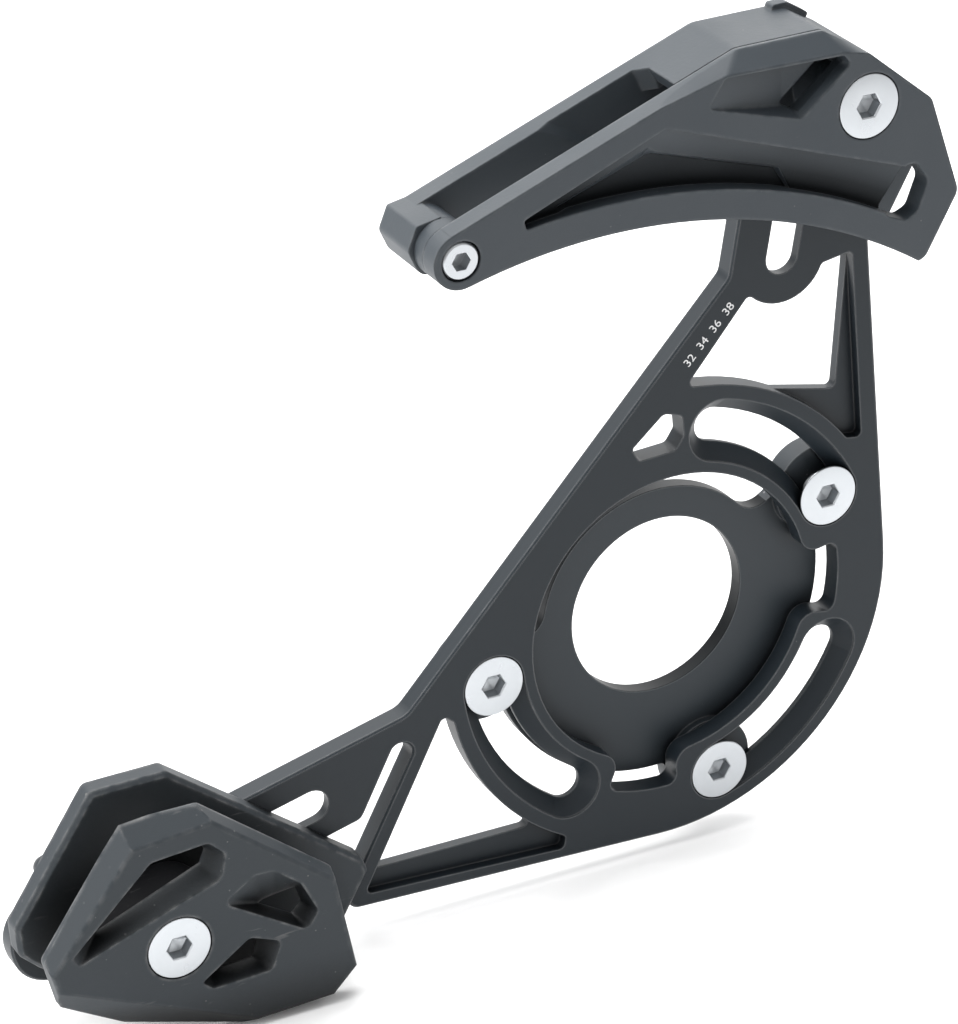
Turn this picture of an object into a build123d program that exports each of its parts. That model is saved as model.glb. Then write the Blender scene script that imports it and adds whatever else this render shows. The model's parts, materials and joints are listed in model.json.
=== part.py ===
from build123d import *
from math import atan2, cos, degrees, radians, sin, sqrt, tan
import os

# Bicycle chain guide on a three-bolt bottom bracket adapter. Millimetres, +Z up.
# The origin is on the bottom bracket axis, on the adapter's frame-side face.
# X runs to the front of the bicycle and the drive side looks towards -Y.
# Outlines are drawn in X and Z, and a level is a distance from the frame-side face towards -Y.

os.makedirs("parts", exist_ok=True)

# Adapter ring between the frame's shell and the bearing cup
shell_bore_radius = 17.5
adapter_thickness = 3.0
adapter_ring_radius = 23.5
adapter_skirt_radius = 33.8
adapter_boss_radius = 8.5
adapter_boss_height = 1.5
adapter_neck_share = 1.0
adapter_edge_radius = 1.0
adapter_neck_angle = 7.4

# Mounting bolts on the standard circle
bolt_circle_radius = 36.5
rear_bolt_angle = 187.6
bolt_step_angle = 100.0
slot_sweep_angle = 48.5

# M6 countersunk bolts and the smaller tip screw
bolt_radius = 3.0
bolt_head_radius = 5.8
bolt_head_rim = 0.35
bolt_socket_width = 4.0
bolt_socket_depth = 2.4
bolt_end_recess = 0.5
mount_bolt_reach = 8.2
tip_screw_radius = 2.0
tip_screw_head_radius = 3.4
tip_screw_head_height = 4.0
tip_screw_chamfer = 0.4
tip_screw_socket_width = 3.0
tip_screw_socket_depth = 2.2
tip_screw_reach = 10.0

# Clearances
bolt_gap = 0.2
thread_gap = 0.1
head_gap = 0.2
key_gap = 0.2
nut_gap = 0.25
insert_gap = 0.05

# Back plate
plate_thickness = 4.0
ring_outer_radius = 45.3
ring_inner_radius = 28.4
notch_depth = 6.7
notch_angles = (0.0, 261.0)
notch_half_angle = 12.0
notch_corner_share = 0.27
notch_mouth_share = 0.52
pocket_depth = 2.0
front_edge_angle = 6.0
bottom_edge_angle = 268.0
clamp_slot_radius = 3.2
nut_groove_depth = 2.0
nut_groove_margin = 3.0
upper_groove_run = 60.0
upper_slot_foot = (20.6, 66.5)
lower_slot_foot = (-72.2, -19.6)
lower_slot_extra = 12.0
plate_edge_chamfer = 0.4
tab_half_width = 8.0
tab_corner_radius = 7.6
tab_end_reach = 24.0
slot_boss_radius = 8.8
window_corner_radius = 1.0

# Guides
upper_clamp = (25.6, 100.1)
lower_clamp = (-105.9, -28.4)
tip_centre = (-51.9, 87.3)
tip_radius = 5.0
guide_wall = 4.0
channel_width = 10.0
key_length = 18.0
key_height = 1.6
underside_crest = (-21.1, 86.6)
underside_radius = 107.1
underside_rim = 5.4
crescent_rise = 18.9
crescent_depth = 2.2
crescent_step_depth = 3.1
crescent_corner_radius = 0.6
crown_rear = (1.0, 113.5)
crown_front = (17.8, 113.9)
crown_heel = (25.2, 109.7)
guide_shoulder = (38.2, 99.3)
roof_thickness = 3.4
roof_gap = 0.2
roof_gusset = 2.2
wall_recess = 0.7
crown_lug_width = 2.3
clamp_boss_radius = 6.6
tip_sleeve_length = 10.8
insert_radius = 2.9
insert_length = 8.0
tip_hole_floor = 1.2
crown_land = 0.6
crown_bevel_gap = 0.1
scoop_floor = 0.8
nut_length = 12.0
nut_thickness = 4.0
nut_corner_radius = 2.5
lug_depth = 3.0
lug_near = 40.0
lug_far = 49.6
lug_rise = 3.0
lug_height = 4.2
lug_corner_radius = 2.0
lower_corner_radius = 1.6
lower_left_bevel = 2.4
lower_top_bevel = 3.2
lower_bottom_bevel = 5.7
lower_edge_draft = 0.9
lower_rim_radius = 0.8
lower_edge_chamfer = 0.8

# Levels
plate_back = adapter_thickness + adapter_boss_height
plate_front = plate_back + plate_thickness
inner_front = plate_front + guide_wall
outer_back = inner_front + channel_width
outer_front = outer_back + guide_wall
groove_floor = plate_back + nut_groove_depth
cut_through = outer_front + 20.0

drive_side = (0, -1, 0)
bracket_axis = Axis((0, 0, 0), drive_side)


def save(solid, name):
    solid.label = name
    export_step(solid, f"parts/{name}.step")


def outline(*corners):
    # Closed face whose corners (x, z, radius) are rounded by tangent arcs.
    count = len(corners)
    edges = []
    ends = []
    for i in range(count):
        before = Vector(*corners[i - 1][:2])
        here = Vector(*corners[i][:2])
        after = Vector(*corners[(i + 1) % count][:2])
        radius = corners[i][2]
        back = (before - here).normalized()
        ahead = (after - here).normalized()
        half = radians(back.get_angle(ahead)) / 2
        reach = radius / tan(half)
        start = here + back * reach
        end = here + ahead * reach
        if radius > 0:
            middle = here + (back + ahead).normalized() * (radius / sin(half) - radius)
            edges.append(ThreePointArc(start, middle, end))
        ends.append((start, end))
    for i in range(count):
        start = ends[i - 1][1]
        end = ends[i][0]
        if (end - start).length > 1e-4:
            edges.append(Line(start, end))
    return make_face(edges)


def sharp(*corners):
    return make_face(Polyline(*corners, close=True))


def softened(face, radius):
    # The face with every sharp corner rounded.
    corners = []
    for vertex in face.vertices():
        tangents = []
        for edge in face.edges():
            for end in (0, 1):
                if (edge.position_at(end) - Vector(*vertex)).length < 1e-5:
                    tangents.append(edge.tangent_at(end))
        if tangents[0].cross(tangents[-1]).length > 0.05:
            corners.append(vertex)
    return fillet(corners, radius)


def polar(radius, angle):
    return (radius * cos(radians(angle)), radius * sin(radians(angle)))


def beside_ring(angle, distance):
    # Point at a distance outside the back plate's ring.
    return polar(ring_outer_radius + distance, angle)


def front_of(body):
    return body.faces().sort_by(Axis.Y)[0]


def slab(face, low, high):
    return extrude(Plane.XZ.offset(low) * face, high - low, dir=drive_side)


def rounded_slab(face, low, high, radius):
    body = slab(face, low, high)
    return fillet(body.edges().filter_by(Axis.Y), radius)


def disc(centre, radius, low, high):
    return slab(Pos(*centre) * Circle(radius), low, high)


def turned(points, centre=(0, 0)):
    # Solid of revolution about a drive-side axis, from (radius, level) points.
    profile = make_face(Polyline(*[(r, -level) for r, level in points], close=True))
    return Pos(centre[0], 0, centre[1]) * revolve(profile, Axis.Y)


def tapered(front, back, front_level, back_level):
    return loft([Plane.XZ.offset(front_level) * front, Plane.XZ.offset(back_level) * back], ruled=True)


def slot(start, end, radius, low, high):
    run = Vector(*end) - Vector(*start)
    turn = degrees(atan2(run.Y, run.X))
    middle = (Vector(*start) + Vector(*end)) / 2
    face = Rot(0, 0, turn) * SlotCenterToCenter(run.length, 2 * radius)
    return slab(Pos(middle.X, middle.Y) * face, low, high)


def toward(start, end, distance, side=0.0):
    # Point at a distance from start towards end, moved to the left of that line by side.
    run = (Vector(*end) - Vector(*start)).normalized()
    point = Vector(*start) + run * distance + Vector(-run.Y, run.X) * side
    return (point.X, point.Y)


def countersink_profile(hole, head, top):
    rim = top - bolt_head_rim
    return [(0, -1), (hole, -1), (hole, rim - head + hole), (head, rim), (head, top + 1), (0, top + 1)]


def countersunk_bolt(centre, top, reach):
    shank_top = top - bolt_head_rim - bolt_head_radius + bolt_radius
    tip = top - reach
    body = turned([
        (0, top), (bolt_head_radius, top), (bolt_head_radius, top - bolt_head_rim),
        (bolt_radius, shank_top), (bolt_radius, tip), (0, tip)], centre)
    key = Pos(*centre) * RegularPolygon(bolt_socket_width / sqrt(3), 6)
    return body - slab(key, top - bolt_socket_depth, top + 1)


bolt_angles = {
    "rear": rear_bolt_angle,
    "lower": rear_bolt_angle + bolt_step_angle,
    "front": rear_bolt_angle + 2 * bolt_step_angle,
}
countersink_radius = bolt_head_radius + head_gap
slot_radius = bolt_radius + bolt_gap
groove_half_width = clamp_slot_radius + nut_groove_margin
nut_half_width = groove_half_width - nut_gap


# Bottom bracket adapter
def make_adapter():
    sector = [(0, 0)]
    first = bolt_angles["rear"] - adapter_neck_angle
    sweep = bolt_angles["front"] + adapter_neck_angle - first
    for step in range(5):
        sector.append(polar(2 * bolt_circle_radius, first + step * sweep / 4))
    face = Circle(adapter_skirt_radius) & make_face(Polyline(*sector, close=True))
    face += Circle(adapter_ring_radius)
    for angle in bolt_angles.values():
        face += Pos(*polar(bolt_circle_radius, angle)) * Circle(adapter_boss_radius)
    necks = [v for v in face.vertices() if abs(Vector(*v).length - adapter_ring_radius) < 0.01]
    neck_gap = bolt_circle_radius - adapter_boss_radius - adapter_ring_radius
    face = softened(fillet(necks, adapter_neck_share * neck_gap), adapter_edge_radius)
    face -= Circle(shell_bore_radius)
    body = slab(face, 0, adapter_thickness)
    for angle in bolt_angles.values():
        centre = polar(bolt_circle_radius, angle)
        body += disc(centre, adapter_boss_radius, adapter_thickness, plate_back)
        body -= disc(centre, bolt_radius + thread_gap, -1, plate_back + 1)
    return body


# Back plate: ring, two arms and the windows between them
def plate_face():
    right_foot = polar(ring_outer_radius, front_edge_angle)
    bottom_foot = polar(ring_outer_radius, bottom_edge_angle)
    reach = (Vector(*lower_clamp) - Vector(*lower_slot_foot)).length + tab_end_reach
    end_top = toward(lower_slot_foot, lower_clamp, reach, -tab_half_width)
    end_bottom = toward(lower_slot_foot, lower_clamp, reach, tab_half_width)
    face = outline(
        (*right_foot, 0), (34.9, 101.7, 4), (26.7, 108.0, 3), (16.5, 108.0, 4), (10.0, 64.5, 3),
        (-53.5, -6.2, 4), (*end_top, tab_corner_radius), (*end_bottom, tab_corner_radius),
        (-62.5, -24.9, 2.2), (-55.6, -10.9, 2.1), (-51.6, -12.8, 2.1), (-67.0, -43.0, 2.5), (*bottom_foot, 0))
    beyond = polar(3 * ring_outer_radius, (front_edge_angle + bottom_edge_angle - 360) / 2)
    rim = make_face(Polyline(bottom_foot, right_foot, beyond, close=True))
    return face + (Circle(ring_outer_radius) & rim)


def ring_opening():
    face = Circle(ring_inner_radius)
    notch_outer_radius = ring_inner_radius + notch_depth
    reach = 2 * notch_outer_radius
    for middle in notch_angles:
        first = polar(reach, middle - notch_half_angle)
        last = polar(reach, middle + notch_half_angle)
        wedge = make_face(Polyline((0, 0), first, last, close=True))
        notch = Circle(notch_outer_radius) & wedge
        rim = notch.vertices().sort_by_distance((0, 0))[-2:]
        face += fillet(rim, notch_corner_share * notch_depth)
    return softened(face, notch_mouth_share * notch_depth)


def arc_slot(angle):
    ends = countersink_profile(slot_radius, countersink_radius, plate_front)
    outer_side = [(bolt_circle_radius + r, -level) for r, level in ends[1:-1]]
    inner_side = [(bolt_circle_radius - r, -level) for r, level in reversed(ends[1:-1])]
    profile = make_face(Polyline(*outer_side, *inner_side, close=True))
    cut = revolve(profile, bracket_axis, slot_sweep_angle)
    cut += turned(ends, (bolt_circle_radius, 0))
    cut += turned(ends, polar(bolt_circle_radius, slot_sweep_angle))
    return cut.rotate(bracket_axis, angle)


def make_backplate():
    body = slab(plate_face(), plate_back, plate_front)
    body = chamfer(front_of(body).edges(), plate_edge_chamfer)
    body -= slab(ring_opening(), 0, cut_through)
    for angle in bolt_angles.values():
        body -= arc_slot(angle)
    ring = Circle(ring_outer_radius)
    pocket_floor = plate_front - pocket_depth
    boss = Pos(*upper_slot_foot) * Circle(slot_boss_radius)
    upper_pocket = sharp(
        beside_ring(88.0, -0.1), (14.4, 61.0), (35.2, 64.8), beside_ring(35.2, 2.3), beside_ring(56.3, -9.2))
    upper_window = sharp(
        beside_ring(88.0, -0.1), (14.4, 61.0), (35.4, 64.8), beside_ring(47.7, 5.2), beside_ring(76.7, -1.7))
    lower_pocket = sharp(
        beside_ring(190.0, 1.8), (-62.2, -40.6), beside_ring(243.0, 2.4), beside_ring(236.3, -9.2))
    lower_window = sharp(
        beside_ring(190.0, 1.8), (-60.4, -36.9), beside_ring(241.5, -3.3), beside_ring(236.3, -9.2))
    for pocket, window, keep in (
            (upper_pocket, upper_window, ring + boss),
            (lower_pocket, lower_window, ring)):
        body -= rounded_slab(pocket - keep, pocket_floor, cut_through, window_corner_radius)
        body -= rounded_slab(window - keep, 0, cut_through, window_corner_radius)
    relief = outline(
        (-8.9, 35.6, 0.8), (-7.4, 33.0, 1.0), (0.0, 33.5, 1.2), (1.6, 36.0, 1.2), (1.2, 40.0, 1.2),
        (-2.6, 41.2, 1.5))
    body -= slab(relief, 0, cut_through)
    slot_end = toward(lower_clamp, lower_slot_foot, -lower_slot_extra)
    body -= slot(upper_slot_foot, upper_clamp, clamp_slot_radius, 0, cut_through)
    body -= slot(lower_slot_foot, slot_end, clamp_slot_radius, 0, cut_through)
    groove_end = toward(upper_slot_foot, upper_clamp, upper_groove_run)
    body -= slot(upper_slot_foot, groove_end, groove_half_width, 0, groove_floor)
    body -= slot(lower_slot_foot, slot_end, groove_half_width, 0, groove_floor)
    return body


# Key that runs in a clamp slot and stops the guide from turning
def slot_key(clamp, foot):
    radius = clamp_slot_radius - key_gap
    end = toward(clamp, foot, key_length - radius)
    return slot(clamp, end, radius, plate_front - key_height, plate_front)


def slide_nut(clamp, foot):
    half = nut_length / 2
    corners = []
    for along, side in ((half, 1), (-half, 1), (-half, -1), (half, -1)):
        corners.append((*toward(clamp, foot, along, side * nut_half_width), nut_corner_radius))
    body = slab(outline(*corners), groove_floor - nut_thickness, groove_floor)
    return body - disc(clamp, bolt_radius + thread_gap, -cut_through, cut_through)


# Upper guide
rib_centre = (underside_crest[0], underside_crest[1] - underside_radius)


def upper_face():
    face = outline(
        (-53.7, 92.0, 0), (-50.5, 82.5, 0), (underside_crest[0], 60.0, 0), (38.4, 69.6, 2.5), (44.6, 81.2, 2.5),
        (*guide_shoulder, 3), (*crown_heel, 4), (*crown_front, 2), (*crown_rear, 4))
    face -= Pos(*rib_centre) * Circle(underside_radius)
    return face + Pos(*tip_centre) * Circle(tip_radius)


def inner_tip_face():
    x, z = tip_centre
    corner = outline(
        (x, z + 5.2, 0), (x - 4.5, z + 4.3, 0.6), (x - 6.1, z + 0.2, 1.5), (x - 4.0, z - 4.3, 2.5),
        (x, z - 4.9, 0))
    return corner + Pos(*tip_centre) * Circle(tip_radius)


def raised(point, rise):
    return (point[0], point[1] + rise)


def roof_face():
    face = outline(
        (-10.2, 109.1, 0), (*crown_rear, 4), (*crown_front, 2), (*crown_heel, 3), (*guide_shoulder, 3),
        (41.6, 88.0, 1), (37.8, 88.0, 1), (34.0, 97.0, 2), (23.6, 105.2, 3),
        (*raised(crown_front, -roof_thickness), 3), (*raised(crown_rear, -roof_thickness), 4),
        (-8.0, 105.6, 1.5))
    return face & upper_face()


def make_upper_inner():
    body = slab(upper_face(), plate_front, inner_front)
    recess_front = sharp(
        (-33.0, 102.4), (-21.6, 97.1), (3.0, 90.6), (14.0, 90.6), (14.0, 108.0), (-22.0, 112.0))
    recess_back = sharp(
        (-31.4, 103.6), (-21.2, 98.6), (3.0, 92.0), (13.0, 92.0), (13.0, 108.0), (-22.0, 112.0))
    body -= tapered(recess_front, recess_back, inner_front, inner_front - wall_recess)
    wall_floor = inner_front - wall_recess
    body += slab(roof_face(), wall_floor, outer_back - roof_gap)
    gusset_front = sharp((-11.4, 112.0), (-8.6, 112.0), (-6.8, 105.8), (-8.1, 105.1))
    gusset_back = sharp((-14.4, 112.0), (-8.6, 112.0), (-6.8, 105.8), (-10.4, 104.2))
    gusset = tapered(gusset_front, gusset_back, wall_floor + roof_gusset, wall_floor - roof_gap)
    body += gusset & slab(upper_face(), plate_front, outer_back)
    body += disc(upper_clamp, clamp_boss_radius, inner_front, outer_back)
    body += slab(inner_tip_face(), plate_front, plate_front + tip_sleeve_length)
    crown_lug = outline(
        (15.0, 112.4, 0.3), (15.6, 114.7, 0.5), (18.4, 114.8, 1.0), (22.8, 112.2, 0.6), (21.4, 110.4, 0.3))
    body += slab(crown_lug, plate_front, plate_front + crown_lug_width)
    body += slot_key(upper_clamp, upper_slot_foot)
    body -= disc(upper_clamp, bolt_radius + bolt_gap, 0, cut_through)
    insert_low = plate_front + tip_sleeve_length - insert_length
    body -= disc(tip_centre, insert_radius + insert_gap, insert_low, cut_through)
    return body - disc(tip_centre, tip_screw_radius + bolt_gap, plate_front + tip_hole_floor, cut_through)


def crescent_cut():
    rim = Pos(*rib_centre) * Circle(underside_radius + underside_rim)
    pocket = sharp(
        (-40.4, 92.2), (-14.0, 103.4), (34.2, 87.4), (30.2, 77.0), (-20.0, 80.0), (-38.6, 86.0)) - rim
    step_front = sharp(
        (-38.6, 92.2), (-16.4, 101.6), (-14.8, 99.4), (9.4, 92.2), (13.6, 85.0), (-20.0, 80.0), (-36.0, 84.0))
    step_back = sharp(
        (-31.0, 92.6), (-18.0, 97.4), (-15.6, 98.4), (8.8, 91.2), (12.8, 85.0), (-20.0, 80.0), (-30.0, 84.0))
    inner_radius = underside_radius + underside_rim
    floor = turned([
        (underside_radius, outer_front + 1), (underside_radius, outer_front - crescent_depth),
        (inner_radius, outer_front - crescent_depth), (underside_radius + crescent_rise, outer_front),
        (underside_radius + crescent_rise, outer_front + 1)], rib_centre)
    cut = slab(softened(pocket, crescent_corner_radius), outer_back, outer_front + 1) & floor
    step = tapered(step_front, step_back, outer_front, outer_front - crescent_step_depth)
    return cut + (step - disc(rib_centre, inner_radius, outer_back, outer_front + 1))


def scoop_cut():
    front = outline(
        (-6.0, 105.3, 0.8), (12.3, 100.2, 0.8), (21.8, 108.4, 0.8), (20.2, 110.2, 0.8), (-2.8, 110.2, 0.8))
    back = outline(
        (-5.0, 105.9, 0.8), (12.0, 101.8, 0.8), (20.4, 108.2, 0.8), (19.4, 109.5, 0.8), (-2.0, 109.5, 0.8))
    ramp = make_face(Polyline(
        (-8.0, outer_front + 1), (-6.0, outer_front), (10.0, outer_back + scoop_floor),
        (crown_heel[0], outer_back + scoop_floor), (crown_heel[0], outer_front + 1), close=True))
    ramp = extrude(Pos(0, 0, underside_crest[1]) * mirror(ramp, Plane.XZ), cut_through, dir=(0, 0, 1))
    hole = outline(
        (9.4, 102.6, 0.6), (12.3, 100.9, 0.6), (21.2, 108.5, 0.6), (20.0, 109.7, 0.5), (17.2, 109.5, 0.6))
    return (tapered(front, back, outer_front, outer_back) & ramp) + slab(hole, outer_back - 1, outer_front)


def make_upper_outer():
    body = slab(upper_face(), outer_back, outer_front)
    crown_front_face = outline(
        (-16.0, 106.9, 0), (-2.5, 110.6, 4), (20.3, 110.7, 3), (25.4, 109.6, 0), (30.0, 125.0, 0),
        (-16.0, 125.0, 0))
    crown_back_face = outline(
        (-16.0, 107.1, 0), (*raised(crown_rear, crown_bevel_gap), 4),
        (*raised(crown_front, crown_bevel_gap), 3), (*raised(crown_heel, crown_bevel_gap), 0),
        (30.0, 125.0, 0), (-16.0, 125.0, 0))
    body -= tapered(crown_front_face, crown_back_face, outer_front, outer_back + crown_land)
    body -= crescent_cut()
    body -= scoop_cut()
    end_slot = outline(
        (29.2, 79.6, 1.5), (33.6, 87.9, 1.0), (35.8, 87.9, 1.5), (38.4, 84.2, 2.0), (36.4, 78.6, 2.0),
        (34.0, 77.5, 1.5))
    body -= slab(end_slot, outer_back - 1, cut_through)
    body -= turned(countersink_profile(slot_radius, countersink_radius, outer_front), upper_clamp)
    body -= disc(tip_centre, tip_screw_radius + bolt_gap, 0, cut_through)
    seat = outer_front - tip_screw_head_height
    return body - disc(tip_centre, tip_screw_head_radius + head_gap, seat, cut_through)


def make_tip_spacer():
    body = disc(tip_centre, tip_radius, plate_front + tip_sleeve_length, outer_back)
    return body - disc(tip_centre, tip_screw_radius + bolt_gap, 0, cut_through)


def make_tip_screw():
    top = outer_front
    seat = top - tip_screw_head_height
    body = turned([
        (0, top), (tip_screw_head_radius - tip_screw_chamfer, top),
        (tip_screw_head_radius, top - tip_screw_chamfer), (tip_screw_head_radius, seat),
        (tip_screw_radius, seat), (tip_screw_radius, seat - tip_screw_reach),
        (0, seat - tip_screw_reach)], tip_centre)
    key = Pos(*tip_centre) * RegularPolygon(tip_screw_socket_width / sqrt(3), 6)
    return body - slab(key, top - tip_screw_socket_depth, top + 1)


def make_tip_insert():
    high = plate_front + tip_sleeve_length
    body = disc(tip_centre, insert_radius, high - insert_length, high)
    return body - disc(tip_centre, tip_screw_radius + thread_gap, 0, cut_through)


# Lower guide
lower_outer = [
    (-114.4, -3.3), (-100.3, -3.3), (-75.6, -22.8), (-71.6, -42.4), (-76.6, -47.6), (-91.6, -48.3),
    (-115.0, -42.9), (-127.2, -35.2), (-129.6, -25.8)]
lower_creases = [
    ((-127.5, -25.6), (-114.0, -7.2), lower_left_bevel), ((-114.0, -7.0), (-100.1, -5.6), lower_top_bevel),
    ((-102.0, -42.4), (-128.8, -30.6), lower_bottom_bevel)]
lower_inner = [
    (-115.2, -2.9), (-101.1, -2.6), (-64.4, -30.2), (-63.2, -33.2), (-69.4, -44.4), (-76.6, -47.6),
    (-91.6, -47.6), (-115.0, -42.6), (-125.8, -34.8), (-129.4, -31.4), (-129.9, -25.8)]


def front_bevel(start, end, width):
    # Wedge above a plane that falls outward, by width at the back, from a line in the front face.
    run = (Vector(*end) - Vector(*start)).normalized()
    plane = Plane((start[0], 0, start[1]), x_dir=(-run.Y, 0, run.X), z_dir=(run.X, 0, run.Y))
    slope = width / (outer_front - outer_back)
    far = width + cut_through
    section = make_face(Polyline(
        (-slope, outer_front + 1), (width, outer_back), (far, outer_back), (far, outer_front + 1), close=True))
    return extrude(plane * section, 2 * cut_through, both=True)


def lower_face(points):
    return outline(*[(x, z, lower_corner_radius) for x, z in points])


def lower_windows(low, high):
    long_front = outline(
        (-125.4, -24.9, 0.5), (-110.6, -10.2, 2.0), (-100.0, -9.3, 1.6), (-96.9, -12.2, 1.6),
        (-97.8, -17.0, 2.0), (-105.0, -19.5, 1.0), (-124.3, -26.6, 0.7))
    long_back = outline(
        (-119.8, -22.6, 0.2), (-109.4, -11.8, 0.8), (-100.4, -11.0, 0.5), (-99.2, -12.6, 0.5),
        (-100.2, -15.2, 0.6), (-104.0, -16.8, 0.6), (-119.4, -23.2, 0.2))
    small_front = outline(
        (-102.0, -36.7, 0.5), (-92.9, -30.2, 1.6), (-86.9, -32.6, 1.2), (-88.8, -37.9, 1.2),
        (-99.9, -38.4, 0.8))
    small_back = outline(
        (-99.8, -36.2, 0.3), (-92.8, -31.2, 0.6), (-90.0, -32.8, 0.5), (-90.8, -36.8, 0.5),
        (-99.0, -37.2, 0.3))
    side_front = outline(
        (-97.6, -22.0, 1.0), (-91.6, -18.0, 1.8), (-88.0, -18.2, 1.8), (-83.0, -22.2, 2.0), (-79.8, -28.6, 1.5),
        (-82.0, -31.8, 1.5))
    side_back = outline(
        (-89.4, -26.4, 0.2), (-88.4, -26.0, 0.2), (-86.0, -25.6, 0.2), (-82.4, -25.2, 0.3), (-81.4, -28.2, 0.3),
        (-83.2, -30.2, 0.3))
    cut = tapered(long_front, long_back, high, low) + tapered(small_front, small_back, high, low)
    return cut + tapered(side_front, side_back, high, low)


def make_lower_inner():
    body = slab(lower_face(lower_inner), plate_front, inner_front)
    body = chamfer(front_of(body).edges(), lower_edge_chamfer)
    body += slot_key(lower_clamp, lower_slot_foot)
    low_side = -tab_half_width - lug_rise
    high_side = low_side - lug_height
    corners = []
    for along, side in ((lug_far, low_side), (lug_near, low_side), (lug_near, high_side), (lug_far, high_side)):
        corners.append((*toward(lower_slot_foot, lower_clamp, along, side), lug_corner_radius))
    lug = outline(*corners)
    body += slab(lug, plate_front - lug_depth, plate_front)
    return body - disc(lower_clamp, bolt_radius + bolt_gap, 0, cut_through)


def make_lower_outer():
    body = slab(lower_face(lower_outer), outer_back, outer_front)
    for start, end, width in lower_creases:
        body -= front_bevel(start, end, width)
    for start, end in zip(lower_outer[1:5], lower_outer[2:6]):
        inner_start = toward(start, end, 0, -lower_edge_draft)
        inner_end = toward(end, start, 0, lower_edge_draft)
        body -= front_bevel(inner_start, inner_end, lower_edge_draft)
    body = fillet(front_of(body).edges(), lower_rim_radius)
    body -= lower_windows(outer_back, outer_front)
    return body - turned(countersink_profile(slot_radius, countersink_radius, outer_front), lower_clamp)


def make_lower_slider():
    face = outline(
        (-120.5, -31.0, 3), (-114.0, -20.5, 8), (-98.5, -19.5, 8), (-94.5, -28.0, 3), (-97.0, -36.5, 3),
        (-112.0, -37.0, 4))
    body = slab(face, inner_front, outer_back)
    return body - disc(lower_clamp, bolt_radius + bolt_gap, 0, cut_through)


save(make_adapter(), "bb_adapter")
save(make_backplate(), "backplate")
for place, bolt_angle in bolt_angles.items():
    bolt_centre = polar(bolt_circle_radius, bolt_angle)
    save(countersunk_bolt(bolt_centre, plate_front, mount_bolt_reach), f"{place}_mount_bolt")
save(make_upper_inner(), "upper_inner_half")
save(make_upper_outer(), "upper_outer_half")
save(make_tip_screw(), "upper_tip_screw")
save(make_tip_insert(), "upper_tip_insert")
save(make_tip_spacer(), "upper_tip_spacer")
save(make_lower_inner(), "lower_inner_plate")
save(make_lower_outer(), "lower_outer_plate")
save(make_lower_slider(), "lower_chain_slider")
clamp_bolt_reach = outer_front - groove_floor + nut_thickness - bolt_end_recess
for guide, clamp, foot in (
        ("upper", upper_clamp, upper_slot_foot),
        ("lower", lower_clamp, lower_slot_foot)):
    save(countersunk_bolt(clamp, outer_front, clamp_bolt_reach), f"{guide}_clamp_bolt")
    save(slide_nut(clamp, foot), f"{guide}_slide_nut")
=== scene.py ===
import json
from math import cos, pi, radians, sin

import bmesh
import bpy
from mathutils import Matrix, Vector


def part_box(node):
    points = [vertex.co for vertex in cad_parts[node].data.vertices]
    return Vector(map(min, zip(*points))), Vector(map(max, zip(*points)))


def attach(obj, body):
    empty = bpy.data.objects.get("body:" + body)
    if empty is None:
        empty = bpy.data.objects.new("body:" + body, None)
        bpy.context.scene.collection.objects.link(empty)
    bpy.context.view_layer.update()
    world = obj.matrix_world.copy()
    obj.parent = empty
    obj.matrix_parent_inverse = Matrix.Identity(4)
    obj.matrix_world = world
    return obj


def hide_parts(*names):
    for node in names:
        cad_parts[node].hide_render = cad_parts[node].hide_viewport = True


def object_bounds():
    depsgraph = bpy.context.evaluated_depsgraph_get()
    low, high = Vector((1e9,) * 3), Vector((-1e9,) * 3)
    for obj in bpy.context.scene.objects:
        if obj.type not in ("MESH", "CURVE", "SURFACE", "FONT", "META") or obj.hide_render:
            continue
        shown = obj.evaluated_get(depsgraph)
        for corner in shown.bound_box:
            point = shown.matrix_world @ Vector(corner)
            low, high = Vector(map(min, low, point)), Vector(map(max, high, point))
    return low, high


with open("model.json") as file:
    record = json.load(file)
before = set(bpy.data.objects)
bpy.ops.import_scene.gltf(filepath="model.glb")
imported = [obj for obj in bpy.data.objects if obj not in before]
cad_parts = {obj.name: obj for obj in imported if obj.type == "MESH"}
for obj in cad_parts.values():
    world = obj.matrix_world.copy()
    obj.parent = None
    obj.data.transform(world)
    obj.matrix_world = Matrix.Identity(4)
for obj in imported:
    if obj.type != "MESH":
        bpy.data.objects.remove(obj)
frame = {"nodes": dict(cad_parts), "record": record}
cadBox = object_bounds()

scene = bpy.context.scene
nodes = frame["nodes"]
print("chain guide: frame loaded,", len(nodes), "CAD nodes")


# camera, at the photo's viewing angle
cameraSettings = {
    "place": (-0.34178, -0.58504, 0.36308),
    "right": (0.8855, -0.4647, 0.0),
    "up": (0.2113, 0.4027, 0.8906),
    "lens": 148.6,
    "sensor": 36.0,
    "clipEnd": 20.0,
}


def addCamera():
    lens = bpy.data.cameras.new("guideCamera")
    lens.lens = cameraSettings["lens"]
    lens.sensor_width = cameraSettings["sensor"]
    lens.clip_end = cameraSettings["clipEnd"]
    camera = bpy.data.objects.new("guideCamera", lens)
    scene.collection.objects.link(camera)
    right = Vector(cameraSettings["right"]).normalized()
    up = Vector(cameraSettings["up"]).normalized()
    back = right.cross(up)
    turn = Matrix((right, up, back)).transposed()
    camera.matrix_world = Matrix.Translation(cameraSettings["place"]) @ turn.to_4x4()
    scene.camera = camera


addCamera()
print("camera set")


# node helpers
def link(tree, source, target):
    tree.links.new(source, target)


def place(tree, kind, x, y, **values):
    node = tree.nodes.new(kind)
    node.location = (x, y)
    for name, value in values.items():
        setattr(node, name, value)
    return node


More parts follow.
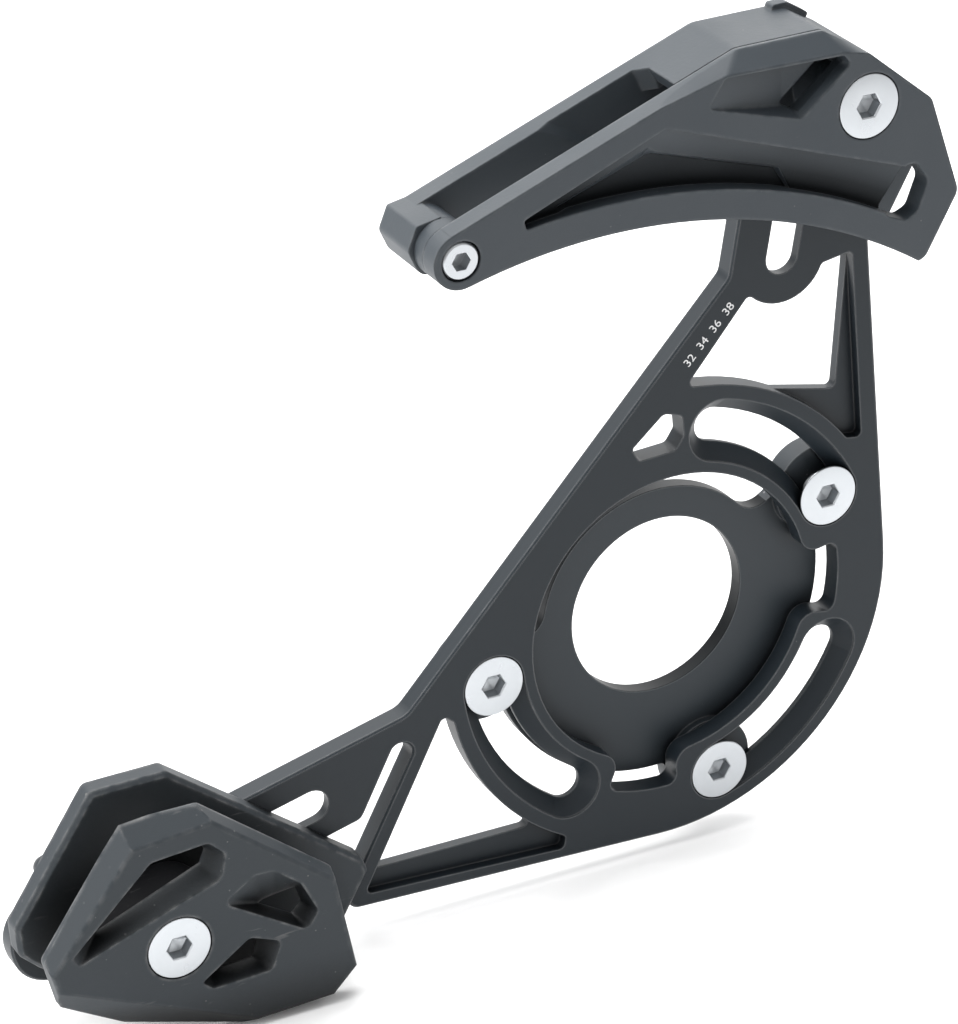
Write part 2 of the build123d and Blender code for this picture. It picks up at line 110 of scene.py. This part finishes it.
def mathNode(tree, operation, x, y, first, second=None, clamp=False):
    node = place(tree, "ShaderNodeMath", x, y, operation=operation, use_clamp=clamp)
    for index, value in ((0, first), (1, second)):
        if value is None:
            continue
        if isinstance(value, (int, float)):
            node.inputs[index].default_value = value
        else:
            link(tree, value, node.inputs[index])
    return node.outputs[0]


def rangeNode(tree, x, y, value, span, result=(0.0, 1.0)):
    node = place(tree, "ShaderNodeMapRange", x, y)
    for label, amount in zip(("From Min", "From Max", "To Min", "To Max"), (*span, *result)):
        node.inputs[label].default_value = amount
    link(tree, value, node.inputs["Value"])
    return node.outputs["Result"]


def noiseNode(tree, x, y, vector, scale, detail, roughness=0.5):
    node = place(tree, "ShaderNodeTexNoise", x, y)
    node.inputs["Detail"].default_value = detail
    node.inputs["Roughness"].default_value = roughness
    link(tree, vector, node.inputs["Vector"])
    if isinstance(scale, float):
        node.inputs["Scale"].default_value = scale
    else:
        link(tree, scale, node.inputs["Scale"])
    return node.outputs["Fac"]


def newGroup(name, inputs, outputs, outputKind="NodeSocketFloat"):
    group = bpy.data.node_groups.new(name, "ShaderNodeTree")
    for label, value in inputs:
        socket = group.interface.new_socket(name=label, in_out="INPUT", socket_type="NodeSocketFloat")
        socket.default_value = value
    for label in outputs:
        group.interface.new_socket(name=label, in_out="OUTPUT", socket_type=outputKind)
    start = place(group, "NodeGroupInput", -900, 0)
    end = place(group, "NodeGroupOutput", 700, 0)
    return group, start.outputs, end.inputs


# fine blasted or moulded skin: a height for bump and a slow tone drift
skinSettings = {
    "grainDetail": 3.0,
    "grainRoughness": 0.6,
    "driftDetail": 4.0,
    "driftSpan": (0.3, 0.7),
}


def buildSkinGroup():
    fixed = skinSettings
    inputs = (("Grain Scale", 2600.0), ("Drift Scale", 45.0))
    group, start, end = newGroup("fineSkin", inputs, ("Height", "Drift"))
    coords = place(group, "ShaderNodeTexCoord", -700, -200).outputs["Object"]
    grain = noiseNode(group, -400, 150, coords, start["Grain Scale"],
                      fixed["grainDetail"], fixed["grainRoughness"])
    drift = noiseNode(group, -400, -200, coords, start["Drift Scale"], fixed["driftDetail"])
    link(group, grain, end["Height"])
    link(group, drift, end["Drift"])
    return group


# rubbed edges and painted edge highlights: a pale mask where the rounded normal leaves the face normal,
# broken up by noise
rubAndHighlightSettings = {
    "bendGain": 9.0,
    "breakDetail": 5.0,
    "breakSpan": (0.38, 0.68),
}


def buildEdgeGroup():
    fixed = rubAndHighlightSettings
    inputs = (("Width", 0.0008), ("Break Scale", 260.0), ("Evenness", 0.0), ("Amount", 0.6))
    group, start, end = newGroup("rubbedEdgeAndHighlight", inputs, ("Mask",))
    rounded = place(group, "ShaderNodeBevel", -650, 150, samples=4)
    link(group, start["Width"], rounded.inputs["Radius"])
    face = place(group, "ShaderNodeNewGeometry", -650, -80)
    dot = place(group, "ShaderNodeVectorMath", -420, 80, operation="DOT_PRODUCT")
    link(group, rounded.outputs["Normal"], dot.inputs[0])
    link(group, face.outputs["Normal"], dot.inputs[1])
    bend = mathNode(group, "SUBTRACT", -220, 80, 1.0, dot.outputs["Value"])
    edge = mathNode(group, "MULTIPLY", -60, 80, bend, fixed["bendGain"], clamp=True)  # full at a slight bend
    coords = place(group, "ShaderNodeTexCoord", -650, -320).outputs["Object"]
    breaks = noiseNode(group, -420, -300, coords, start["Break Scale"], fixed["breakDetail"])
    spread = rangeNode(group, -200, -260, breaks, fixed["breakSpan"])
    share = mathNode(group, "MAXIMUM", -20, -200, spread, start["Evenness"])
    patchy = mathNode(group, "MULTIPLY", 140, 0, edge, share)
    link(group, mathNode(group, "MULTIPLY", 300, 0, patchy, start["Amount"], clamp=True), end["Mask"])
    return group


# softly broken edges: the normal turns from face to face over a small radius
def buildSoftEdgeGroup():
    group, start, end = newGroup("softEdge", (("Radius", 0.0004),), ("Normal",), "NodeSocketVector")
    rounded = place(group, "ShaderNodeBevel", -300, 0, samples=6)
    link(group, start["Radius"], rounded.inputs["Radius"])
    link(group, rounded.outputs["Normal"], end["Normal"])
    return group


# small pale specks of dust pressed into a face, uneven in size
def buildSpeckGroup():
    inputs = (("Scale", 420.0), ("Size", 0.12), ("Share", 0.3))
    group, start, end = newGroup("paleSpecks", inputs, ("Mask",))
    coords = place(group, "ShaderNodeTexCoord", -800, 0)
    cells = place(group, "ShaderNodeTexVoronoi", -600, 100)
    link(group, coords.outputs["Object"], cells.inputs["Vector"])
    link(group, start["Scale"], cells.inputs["Scale"])
    tint = place(group, "ShaderNodeSeparateColor", -400, -120)
    link(group, cells.outputs["Color"], tint.inputs["Color"])
    size = mathNode(group, "MULTIPLY", -200, 0, start["Size"], tint.outputs["Green"])
    dots = mathNode(group, "LESS_THAN", 0, 100, cells.outputs["Distance"], size)
    few = mathNode(group, "LESS_THAN", 0, -120, tint.outputs["Red"], start["Share"])
    strength = mathNode(group, "MULTIPLY", 200, -120, few, tint.outputs["Blue"])
    link(group, mathNode(group, "MULTIPLY", 400, 0, dots, strength), end["Mask"])
    return group


# short pale scuffs: thin stretched streaks that show only in patches
scuffSettings = {
    "streakTurn": (0.5, 0.7, 0.3),
    "streakStretch": (1.0, 7.0, 7.0),
    "streakDetail": 3.0,
    "streakSpan": (0.66, 0.74),
    "patchScale": 90.0,
    "patchDetail": 2.0,
    "patchSpan": (0.50, 0.62),
}


def buildScuffGroup():
    fixed = scuffSettings
    group, start, end = newGroup("paleScuffs", (("Scale", 160.0), ("Share", 0.5)), ("Mask",))
    coords = place(group, "ShaderNodeTexCoord", -900, -200).outputs["Object"]
    turn = place(group, "ShaderNodeMapping", -700, 100)
    turn.inputs["Rotation"].default_value = fixed["streakTurn"]
    turn.inputs["Scale"].default_value = fixed["streakStretch"]
    link(group, coords, turn.inputs["Vector"])
    streaks = noiseNode(group, -450, 150, turn.outputs["Vector"], start["Scale"], fixed["streakDetail"])
    thin = rangeNode(group, -200, 150, streaks, fixed["streakSpan"])
    patches = noiseNode(group, -450, -200, coords, fixed["patchScale"], fixed["patchDetail"])
    patchy = rangeNode(group, -200, -200, patches, fixed["patchSpan"])
    both = mathNode(group, "MULTIPLY", 100, 0, thin, patchy)
    link(group, mathNode(group, "MULTIPLY", 300, 0, both, start["Share"], clamp=True), end["Mask"])
    return group


# painted shade: closed-in places darkened by an ambient occlusion mask, where little light gets to
def buildHollowShadeGroup():
    inputs = (("Reach", 0.006), ("Amount", 1.0))
    group, start, end = newGroup("paintedHollowShade", inputs, ("Mask",))
    hollowShade = place(group, "ShaderNodeAmbientOcclusion", -500, 0, samples=6)
    link(group, start["Reach"], hollowShade.inputs["Distance"])
    closed = mathNode(group, "SUBTRACT", -250, 0, 1.0, hollowShade.outputs["AO"])
    link(group, mathNode(group, "MULTIPLY", 0, 0, closed, start["Amount"], clamp=True), end["Mask"])
    return group


skinGroup = buildSkinGroup()
edgeGroup = buildEdgeGroup()
speckGroup = buildSpeckGroup()
scuffGroup = buildScuffGroup()
hollowShadeGroup = buildHollowShadeGroup()
softEdgeGroup = buildSoftEdgeGroup()
print("shader groups built")


def newMaterial(name, base, metallic, roughness, specular=0.5):
    material = bpy.data.materials.new(name)
    material.use_nodes = True
    tree = material.node_tree
    shader = tree.nodes["Principled BSDF"]
    shader.inputs["Base Color"].default_value = (*base, 1.0)
    shader.inputs["Metallic"].default_value = metallic
    shader.inputs["Roughness"].default_value = roughness
    shader.inputs["Specular IOR Level"].default_value = specular
    return material, tree, shader


def useGroup(tree, group, x, y, **values):
    node = place(tree, "ShaderNodeGroup", x, y, node_tree=group)
    for label, value in values.items():
        node.inputs[label.replace("_", " ")].default_value = value
    return node


def mixColour(tree, x, y, mask, first, second):
    node = place(tree, "ShaderNodeMix", x, y, data_type="RGBA")
    link(tree, mask, node.inputs["Factor"])
    for index, value in ((6, first), (7, second)):  # the Mix node's two colour sockets
        if isinstance(value, tuple):
            node.inputs[index].default_value = (*value, 1.0)
        else:
            link(tree, value, node.inputs[index])
    return node.outputs[2]


def addBump(tree, shader, height, settings):
    soft = useGroup(tree, softEdgeGroup, -500, -450, Radius=settings["edgeRadius"])
    bump = place(tree, "ShaderNodeBump", -250, -350)
    link(tree, soft.outputs["Normal"], bump.inputs["Normal"])
    bump.inputs["Strength"].default_value = settings["bumpStrength"]
    bump.inputs["Distance"].default_value = settings["bumpDepth"]
    link(tree, height, bump.inputs["Height"])
    link(tree, bump.outputs["Normal"], shader.inputs["Normal"])


def driftTo(tree, x, y, drift, span, socket):
    link(tree, rangeNode(tree, x, y, drift, skinSettings["driftSpan"], span), socket)


# paints shade on a masked place: a near-black colour, with a metallic value that takes the sheen off
def paintShadeOn(tree, shader, mask, colour, shadeBlack, shadeSheenLoss):
    dull = mathNode(tree, "MULTIPLY", -500, 550, mask, shadeSheenLoss)
    link(tree, dull, shader.inputs["Metallic"])
    return mixColour(tree, -500, 350, mask, colour, shadeBlack)


# how far a face looks along Y, from -1 to 1
def facingAlongY(tree, x, y):
    face = place(tree, "ShaderNodeNewGeometry", x, y)
    parts = place(tree, "ShaderNodeSeparateXYZ", x + 200, y)
    link(tree, face.outputs["True Normal"], parts.inputs["Vector"])
    return parts.outputs["Y"]


# distance from an axis that runs along Y, and the level along that axis
def axisDistance(tree, x, y, centre):
    coords = place(tree, "ShaderNodeTexCoord", x, y)
    spot = place(tree, "ShaderNodeSeparateXYZ", x + 200, y + 100)
    link(tree, coords.outputs["Object"], spot.inputs["Vector"])
    flat = place(tree, "ShaderNodeCombineXYZ", x + 400, y)
    link(tree, spot.outputs["X"], flat.inputs["X"])
    link(tree, spot.outputs["Z"], flat.inputs["Z"])
    away = place(tree, "ShaderNodeVectorMath", x + 600, y, operation="DISTANCE")
    link(tree, flat.outputs["Vector"], away.inputs[0])
    away.inputs[1].default_value = centre
    return away.outputs["Value"], spot.outputs["Y"]


# satin black anodised aluminium, with painted shade in its hollows and a painted shadow in deep black on the
# walls of the adapter's ring
anodisedSettings = {
    "plate": {"dark": (0.008, 0.012, 0.016), "light": (0.011, 0.016, 0.021)},
    "adapter": {"dark": (0.021, 0.027, 0.032), "light": (0.026, 0.032, 0.038)},
    # the rub colour is a pale worn edge that also stands as a painted highlight along the edges
    "rubAndHighlight": (0.19, 0.195, 0.20),
    # painted shade colour for closed-in places
    "hollowShade": (0.002, 0.002, 0.003),
    "roughness": (0.40, 0.46),
    "specular": 0.27,
    "ringCentre": (0.0, 0.0, 0.0),
    "ringReach": 0.0275,
    "ringWallFacing": 0.5,
    # painted shadow colour and sheen loss on the walls of the adapter's ring
    "ringWallShadow": (0.004, 0.005, 0.006),
    "ringShadowSheenLoss": 0.85,
    "grainScale": 2400.0,
    "driftScale": 30.0,
    "edgeWidth": 0.0005,
    "edgeBreak": 320.0,
    "edgeEvenness": 0.7,
    "edgeAmount": 0.70,
    "speckScale": 300.0,
    "speckSize": 0.10,
    "speckShare": 0.12,
    "speckColour": (0.20, 0.20, 0.21),
    "hollowReach": 0.004,
    "hollowAmount": 1.0,
    "bumpStrength": 0.12,
    "bumpDepth": 0.00006,
    "edgeRadius": 0.0003,
}


# painted shadow: walls of the adapter's ring near its axis, turned away from Y, where the plate's shadow
# falls
def ringShadowMask(tree):
    fixed = anodisedSettings
    away = axisDistance(tree, -1900, 1000, fixed["ringCentre"])[0]
    slant = mathNode(tree, "ABSOLUTE", -1500, 1300, facingAlongY(tree, -1900, 1300))
    side = mathNode(tree, "LESS_THAN", -1300, 1300, slant, fixed["ringWallFacing"])
    near = mathNode(tree, "LESS_THAN", -1000, 1000, away, fixed["ringReach"])
    return mathNode(tree, "MULTIPLY", -800, 1150, side, near)


def anodisedMaterial(name, tones, shadowedRing=False):
    fixed = anodisedSettings
    material, tree, shader = newMaterial(name, tones["dark"], 0.0, fixed["roughness"][0], fixed["specular"])
    skin = useGroup(tree, skinGroup, -1300, -200,
                    Grain_Scale=fixed["grainScale"], Drift_Scale=fixed["driftScale"])
    edge = useGroup(tree, edgeGroup, -1300, 200, Width=fixed["edgeWidth"], Break_Scale=fixed["edgeBreak"],
                    Evenness=fixed["edgeEvenness"], Amount=fixed["edgeAmount"])
    speck = useGroup(tree, speckGroup, -1300, 450,
                     Scale=fixed["speckScale"], Size=fixed["speckSize"], Share=fixed["speckShare"])
    hollowShade = useGroup(tree, hollowShadeGroup, -1300, 700, Reach=fixed["hollowReach"], Amount=fixed["hollowAmount"])
    body = mixColour(tree, -1000, 100, skin.outputs["Drift"], tones["dark"], tones["light"])
    rubbedAndHighlit = mixColour(tree, -800, 150, edge.outputs["Mask"], body, fixed["rubAndHighlight"])
    dusty = mixColour(tree, -600, 200, speck.outputs["Mask"], rubbedAndHighlit, fixed["speckColour"])
    # painted shadow on the ring's walls, near black with the sheen taken off
    if shadowedRing:
        dusty = paintShadeOn(tree, shader, ringShadowMask(tree), dusty,
                            fixed["ringWallShadow"], fixed["ringShadowSheenLoss"])
    link(tree, mixColour(tree, -350, 250, hollowShade.outputs["Mask"], dusty, fixed["hollowShade"]),
         shader.inputs["Base Color"])
    driftTo(tree, -500, -150, skin.outputs["Drift"], fixed["roughness"], shader.inputs["Roughness"])
    addBump(tree, shader, skin.outputs["Height"], fixed)
    return material


# matt moulded plastic of the guides, cleaner above and more worn below, with painted shade in closed-in
# places, heavier on the lower guide
plasticSettings = {
    # each rub colour is a pale worn edge that also stands as a painted highlight along the edges
    "upper": {"dark": (0.023, 0.030, 0.037), "light": (0.030, 0.038, 0.046), "rubAndHighlight": (0.13, 0.135, 0.14),
              "edgeAmount": 0.40, "speckShare": 0.14, "scuffShare": 0.0, "reach": 0.006, "hollowAmount": 0.5,
              "specular": 0.45},
    "lower": {"dark": (0.019, 0.024, 0.029), "light": (0.031, 0.037, 0.042), "rubAndHighlight": (0.17, 0.17, 0.17),
              "edgeAmount": 0.90, "speckShare": 0.45, "scuffShare": 0.55, "reach": 0.012, "hollowAmount": 2.2,
              "specular": 0.25},
    "slider": {"dark": (0.005, 0.005, 0.006), "light": (0.008, 0.008, 0.009), "rubAndHighlight": (0.04, 0.04, 0.04),
               "edgeAmount": 0.30, "speckShare": 0.05, "scuffShare": 0.3, "reach": 0.012, "hollowAmount": 1.1,
               "specular": 0.12},
    # painted shade colour for closed-in places
    "hollowShade": (0.0012, 0.0016, 0.0020),
    "roughness": (0.46, 0.60),
    "grainScale": 1500.0,
    "driftScale": 55.0,
    "edgeWidth": 0.0010,
    "edgeBreak": 420.0,
    "speckScale": 620.0,
    "speckSize": 0.15,
    "speckColour": (0.11, 0.11, 0.11),
    "scuffScale": 160.0,
    "scuffColour": (0.12, 0.12, 0.12),
    "bumpStrength": 0.25,
    "bumpDepth": 0.00010,
    "edgeRadius": 0.0006,
}
# painted shade on the floor of the crescent recess in the outer wall, darker towards the rim below it
crescentSettings = {
    "arcCentre": (-0.0211, 0.0, -0.0205),
    "radii": (0.1290, 0.1125),
    "levels": (-0.0261, -0.0248),
    "frontFacing": -0.8,
    # painted shade colour and sheen loss of the recess floor
    "colour": (0.003, 0.004, 0.005),
    "shadeSheenLoss": 0.85,
}


def crescentShadeMask(tree):
    fixed = crescentSettings
    away, level = axisDistance(tree, -2100, 1250, fixed["arcCentre"])
    fall = rangeNode(tree, -1300, 1250, away, fixed["radii"])
    deep = rangeNode(tree, -1300, 1450, level, fixed["levels"])
    front = mathNode(tree, "LESS_THAN", -1500, 1500, facingAlongY(tree, -2100, 1500), fixed["frontFacing"])
    both = mathNode(tree, "MULTIPLY", -1100, 1400, deep, front)
    return mathNode(tree, "MULTIPLY", -900, 1300, both, fall)


def plasticMaterial(name, tones, shadedCrescent=False):
    fixed = plasticSettings
    material, tree, shader = newMaterial(name, tones["dark"], 0.0, fixed["roughness"][0], tones["specular"])
    skin = useGroup(tree, skinGroup, -1500, -200,
                    Grain_Scale=fixed["grainScale"], Drift_Scale=fixed["driftScale"])
    edge = useGroup(tree, edgeGroup, -1500, 200, Width=fixed["edgeWidth"], Break_Scale=fixed["edgeBreak"],
                    Amount=tones["edgeAmount"])
    speck = useGroup(tree, speckGroup, -1500, 450,
                     Scale=fixed["speckScale"], Size=fixed["speckSize"], Share=tones["speckShare"])
    scuff = useGroup(tree, scuffGroup, -1500, 700, Scale=fixed["scuffScale"], Share=tones["scuffShare"])
    hollowShade = useGroup(tree, hollowShadeGroup, -1500, 950, Reach=tones["reach"], Amount=tones["hollowAmount"])
    body = mixColour(tree, -1200, 100, skin.outputs["Drift"], tones["dark"], tones["light"])
    rubbedAndHighlit = mixColour(tree, -1000, 150, edge.outputs["Mask"], body, tones["rubAndHighlight"])
    scuffed = mixColour(tree, -800, 200, scuff.outputs["Mask"], rubbedAndHighlit, fixed["scuffColour"])
    dusty = mixColour(tree, -600, 250, speck.outputs["Mask"], scuffed, fixed["speckColour"])
    # painted shade in the crescent recess
    if shadedCrescent:
        dusty = paintShadeOn(tree, shader, crescentShadeMask(tree), dusty,
                            crescentSettings["colour"], crescentSettings["shadeSheenLoss"])
    link(tree, mixColour(tree, -350, 300, hollowShade.outputs["Mask"], dusty, fixed["hollowShade"]),
         shader.inputs["Base Color"])
    driftTo(tree, -500, -150, skin.outputs["Drift"], fixed["roughness"], shader.inputs["Roughness"])
    addBump(tree, shader, skin.outputs["Height"], fixed)
    return material


# plated and turned metal of the fasteners, with painted shade in the sockets and other closed-in places
metalSettings = {
    "bolt": {"dark": (0.44, 0.46, 0.48), "light": (0.52, 0.54, 0.56), "roughness": (0.26, 0.36)},
    "nut": {"dark": (0.20, 0.20, 0.21), "light": (0.27, 0.27, 0.28), "roughness": (0.32, 0.48)},
    "brass": {"dark": (0.50, 0.34, 0.13), "light": (0.62, 0.45, 0.19), "roughness": (0.28, 0.42)},
    # painted shade colour for closed-in places
    "hollowShade": (0.14, 0.145, 0.15),
    "hollowReach": 0.0025,
    "hollowAmount": 0.5,
    "grainScale": 3200.0,
    "driftScale": 240.0,
    "bumpStrength": 0.10,
    "bumpDepth": 0.00004,
    "edgeRadius": 0.0002,
}


def metalMaterial(name, tones):
    fixed = metalSettings
    material, tree, shader = newMaterial(name, tones["light"], 1.0, tones["roughness"][0])
    skin = useGroup(tree, skinGroup, -1100, -200,
                    Grain_Scale=fixed["grainScale"], Drift_Scale=fixed["driftScale"])
    hollowShade = useGroup(tree, hollowShadeGroup, -1100, 300, Reach=fixed["hollowReach"], Amount=fixed["hollowAmount"])
    plated = mixColour(tree, -700, 100, skin.outputs["Drift"], tones["dark"], tones["light"])
    link(tree, mixColour(tree, -400, 150, hollowShade.outputs["Mask"], plated, fixed["hollowShade"]),
         shader.inputs["Base Color"])
    driftTo(tree, -500, -150, skin.outputs["Drift"], tones["roughness"], shader.inputs["Roughness"])
    addBump(tree, shader, skin.outputs["Height"], fixed)
    return material


finishes = {
    "anodised_plate": anodisedMaterial("anodisedPlate", anodisedSettings["plate"]),
    "anodised_adapter": anodisedMaterial("anodisedAdapter", anodisedSettings["adapter"], shadowedRing=True),
    "guide_plastic": plasticMaterial("guidePlastic", plasticSettings["upper"]),
    "slider_plastic": plasticMaterial("sliderPlastic", plasticSettings["slider"]),
    "bolt_steel": metalMaterial("boltSteel", metalSettings["bolt"]),
    "nut_steel": metalMaterial("nutSteel", metalSettings["nut"]),
    "insert_brass": metalMaterial("insertBrass", metalSettings["brass"]),
}
wornShadedPlastic = plasticMaterial("wornShadedGuidePlastic", plasticSettings["lower"])
nodeFinishes = {
    "upper_outer_half": plasticMaterial("crescentShadedGuidePlastic", plasticSettings["upper"], shadedCrescent=True),
    "lower_inner_plate": wornShadedPlastic,
    "lower_outer_plate": wornShadedPlastic,
}
print("materials built:", len({finish.name for finish in (*finishes.values(), *nodeFinishes.values())}))


# finish of each CAD node, by its slot unless it has one of its own
for part in frame["record"]["subparts"]:
    piece = nodes[part["node"]]
    piece.data.materials.clear()
    piece.data.materials.append(nodeFinishes.get(part["node"], finishes[part["material_slot"]]))
print("nodes dressed")


# countersunk bolts with a turned rim, a hex socket with a lead-in and a rolled thread
boltSettings = {
    "nodes": ("rear_mount_bolt", "lower_mount_bolt", "front_mount_bolt",
              "upper_clamp_bolt", "lower_clamp_bolt"),
    "segments": 72,
    "shankRadius": 0.003,
    "rimHeight": 0.00035,
    "rimRound": 0.00015,
    "rimSteps": 3,
    "socketWidth": 0.004,
    "socketDepth": 0.0024,
    "socketLead": 0.0002,
    "socketCone": 0.0006,
    "threadPitch": 0.001,
    "threadDepth": 0.0005,
    "threadLength": 0.012,
    "threadSteps": 8,
    "threadFlank": 3.2,
    "threadRoot": 0.2,
    "endChamfer": 0.0005,
    "sharpAngle": 28,
}


def hexRadius(inside, angle):
    return inside / cos(angle % (pi / 3) - pi / 6)


def threadDip(along, angle):
    turn = (along / boltSettings["threadPitch"] - angle / (2 * pi)) % 1.0
    dip = boltSettings["threadFlank"] * abs(turn - 0.5) - boltSettings["threadRoot"]
    return min(1.0, max(0.0, dip))


def boltRings(headRadius, length):
    fixed = boltSettings
    halfSocket = fixed["socketWidth"] / 2
    shank = fixed["shankRadius"]
    soft = fixed["rimRound"]
    rings = [
        (fixed["socketDepth"], lambda angle: hexRadius(halfSocket, angle)),
        (fixed["socketLead"], lambda angle: hexRadius(halfSocket, angle)),
        (0.0, lambda angle: hexRadius(halfSocket + fixed["socketLead"], angle)),
    ]
    for step in range(fixed["rimSteps"] + 1):
        turn = step * pi / 2 / fixed["rimSteps"]
        rim = headRadius - soft * (1 - sin(turn))
        rings.append((soft * (1 - cos(turn)), lambda angle, rim=rim: rim))
    coneEnd = fixed["rimHeight"] + headRadius - shank
    rings.append((fixed["rimHeight"], lambda angle: headRadius))
    rings.append((coneEnd, lambda angle: shank))
    threadEnd = length - fixed["endChamfer"]
    threadStart = max(coneEnd, threadEnd - fixed["threadLength"])
    steps = int((threadEnd - threadStart) / fixed["threadPitch"] * fixed["threadSteps"])
    for step in range(steps + 1):
        along = (threadEnd - threadStart) * step / steps
        depth = fixed["threadDepth"] * min(1.0, along / fixed["threadPitch"])
        rings.append((threadStart + along,
                      lambda angle, along=along, depth=depth: shank - depth * threadDip(along, angle)))
    rings.append((length, lambda angle: shank - fixed["threadDepth"]))
    return rings


def addBolt(name, body):
    low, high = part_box(name)
    headRadius = (high[0] - low[0]) / 2
    centre = Vector(((low[0] + high[0]) / 2, low[1], (low[2] + high[2]) / 2))
    length = high[1] - low[1]
    count = boltSettings["segments"]
    mesh = bpy.data.meshes.new(name + "Turned")
    shape = bmesh.new()
    angles = [2 * pi * index / count for index in range(count)]
    loops = []
    for depth, radius in boltRings(headRadius, length):
        offsets = [Vector((radius(turn) * cos(turn), depth, radius(turn) * sin(turn))) for turn in angles]
        loops.append([shape.verts.new(centre + offset) for offset in offsets])
    for inner, outer in zip(loops, loops[1:]):
        for index in range(count):
            after = (index + 1) % count
            shape.faces.new((inner[index], inner[after], outer[after], outer[index]))
    socketEnd = boltSettings["socketDepth"] + boltSettings["socketCone"]
    socketFloor = shape.verts.new(centre + Vector((0.0, socketEnd, 0.0)))
    for index in range(count):
        shape.faces.new((socketFloor, loops[0][(index + 1) % count], loops[0][index]))
    shape.faces.new(loops[-1])
    bmesh.ops.recalc_face_normals(shape, faces=shape.faces)
    shape.to_mesh(mesh)
    shape.free()
    for face in mesh.polygons:
        face.use_smooth = True
    mesh.set_sharp_from_angle(angle=radians(boltSettings["sharpAngle"]))
    mesh.materials.append(finishes["bolt_steel"])
    piece = bpy.data.objects.new(name + "Turned", mesh)
    scene.collection.objects.link(piece)
    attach(piece, body)
    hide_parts(name)


for bodyName, members in frame["record"]["behaviour"]["bodies"].items():
    for member in members:
        if member in boltSettings["nodes"]:
            addBolt(member, bodyName)
print("bolts turned:", len(boltSettings["nodes"]))


# plain tooth numbers printed in white beside the arm's slot
numberSettings = {
    "text": "32  34  36  38",
    "height": 0.0024,
    "centre": (0.0062, -0.00851, 0.0546),
    "along": (0.674, 0.0, 0.738),
    "ink": (0.82, 0.82, 0.82),
    "worn": (0.55, 0.55, 0.56),
    "thickness": 0.00002,
    "curveSteps": 4,
    "roughness": 0.6,
    "specular": 0.3,
    "grainScale": 1800.0,
    "driftScale": 700.0,
}


def inkMaterial():
    fixed = numberSettings
    material, tree, shader = newMaterial("whiteInk", fixed["ink"], 0.0, fixed["roughness"], fixed["specular"])
    skin = useGroup(tree, skinGroup, -700, 0,
                    Grain_Scale=fixed["grainScale"], Drift_Scale=fixed["driftScale"])
    link(tree, mixColour(tree, -300, 100, skin.outputs["Drift"], fixed["ink"], fixed["worn"]),
         shader.inputs["Base Color"])
    return material


def addToothNumbers():
    text = bpy.data.curves.new("toothNumbers", "FONT")
    text.body = numberSettings["text"]
    text.size = numberSettings["height"]
    text.extrude = numberSettings["thickness"]
    text.align_x = "CENTER"
    text.align_y = "CENTER"
    text.resolution_u = numberSettings["curveSteps"]
    text.materials.append(inkMaterial())
    piece = bpy.data.objects.new("toothNumbers", text)
    scene.collection.objects.link(piece)
    along = Vector(numberSettings["along"]).normalized()
    out = Vector((0.0, -1.0, 0.0))
    turn = Matrix((along, out.cross(along), out)).transposed()
    piece.matrix_world = Matrix.Translation(numberSettings["centre"]) @ turn.to_4x4()
    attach(piece, "plate")


addToothNumbers()
print("tooth numbers printed")


# plain pale floor and soft studio light
studioSettings = {
    "floorGap": 0.0005,
    "floorHalf": 3.0,
    "floorColour": (0.93, 0.93, 0.93),
    "floorRoughness": 0.8,
    "floorSpecular": 0.2,
    "world": (1.0, 1.0, 1.0),
    "worldStrength": 0.75,
    "aim": (-0.03, 0.0, 0.03),
    "lights": (
        {"name": "topSoftbox", "place": (-0.20, 0.15, 0.95), "size": (0.9, 0.9), "power": 14.0},
        {"name": "leftSoftbox", "place": (-1.10, 0.10, 0.45), "size": (0.8, 0.8), "power": 10.0},
        {"name": "rearPanel", "place": (0.25, 1.25, 0.65), "size": (2.4, 0.9), "power": 18.0},
    ),
}


def addFloor():
    fixed = studioSettings
    half = fixed["floorHalf"]
    level = cadBox[0][2] - fixed["floorGap"]
    corners = [(-half, -half, level), (half, -half, level), (half, half, level), (-half, half, level)]
    mesh = bpy.data.meshes.new("paleFloor")
    mesh.from_pydata(corners, [], [(0, 1, 2, 3)])
    floor = bpy.data.objects.new("paleFloor", mesh)
    scene.collection.objects.link(floor)
    material = newMaterial("paleFloor", fixed["floorColour"], 0.0,
                           fixed["floorRoughness"], fixed["floorSpecular"])[0]
    mesh.materials.append(material)


def addLights():
    world = bpy.data.worlds.new("studio")
    world.use_nodes = True
    sky = world.node_tree.nodes["Background"]
    sky.inputs["Color"].default_value = (*studioSettings["world"], 1.0)
    sky.inputs["Strength"].default_value = studioSettings["worldStrength"]
    scene.world = world
    for settings in studioSettings["lights"]:
        lamp = bpy.data.lights.new(settings["name"], "AREA")
        lamp.shape = "RECTANGLE"
        lamp.size, lamp.size_y = settings["size"]
        lamp.energy = settings["power"]
        holder = bpy.data.objects.new(settings["name"], lamp)
        scene.collection.objects.link(holder)
        holder.location = settings["place"]
        holder.visible_camera = False
        look = Vector(studioSettings["aim"]) - Vector(settings["place"])
        holder.rotation_euler = look.to_track_quat("-Z", "Y").to_euler()


addFloor()
addLights()
scene.view_settings.view_transform = "Standard"
print("floor and lights placed")
